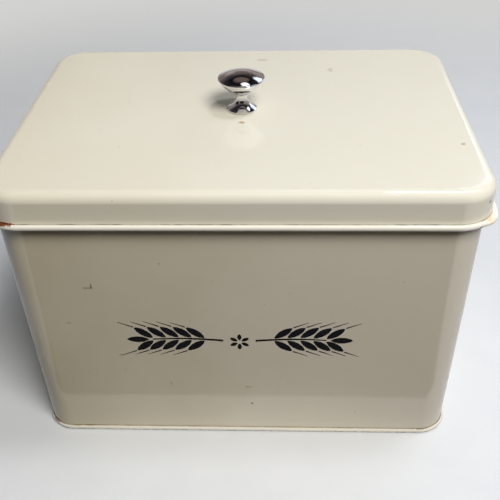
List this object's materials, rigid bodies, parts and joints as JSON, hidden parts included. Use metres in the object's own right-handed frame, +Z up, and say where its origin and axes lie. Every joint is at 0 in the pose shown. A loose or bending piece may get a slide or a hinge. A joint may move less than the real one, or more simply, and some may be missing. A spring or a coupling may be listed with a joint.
{
  "type": "bread box",
  "caption": "Cream coated steel bread box, rounded upright corners, slip-over lift-off lid with rolled edge and a chrome mushroom knob.",
  "frame": {"origin": "middle of the base, on the surface that the box stands on", "axes": "+X to the right and +Z up as the box stands, with the printed front facing -Y and the lock seam at the back"},
  "size_m": [0.3436, 0.2456, 0.2648],
  "materials": {
    "cream_coat": "gloss cream stoved coat on sheet steel",
    "chrome": "polished chrome plate",
    "zinc": "bright zinc plate",
    "dark_print": "near-black ink printed on the coat, for the ornament on the front"
  },
  "bodies": {
    "box": {"body_wall": "cream_coat", "bottom_panel": "cream_coat"},
    "lid": {"lid_shell": "cream_coat", "knob": "chrome", "knob_screw": "zinc", "screw_washer": "zinc"}
  },
  "joints": [
    {"name": "lid_lift", "type": "slide", "parent": "box", "child": "lid", "axis": [0, 0, 1], "range_m": [0, 0.25]}
  ]
}
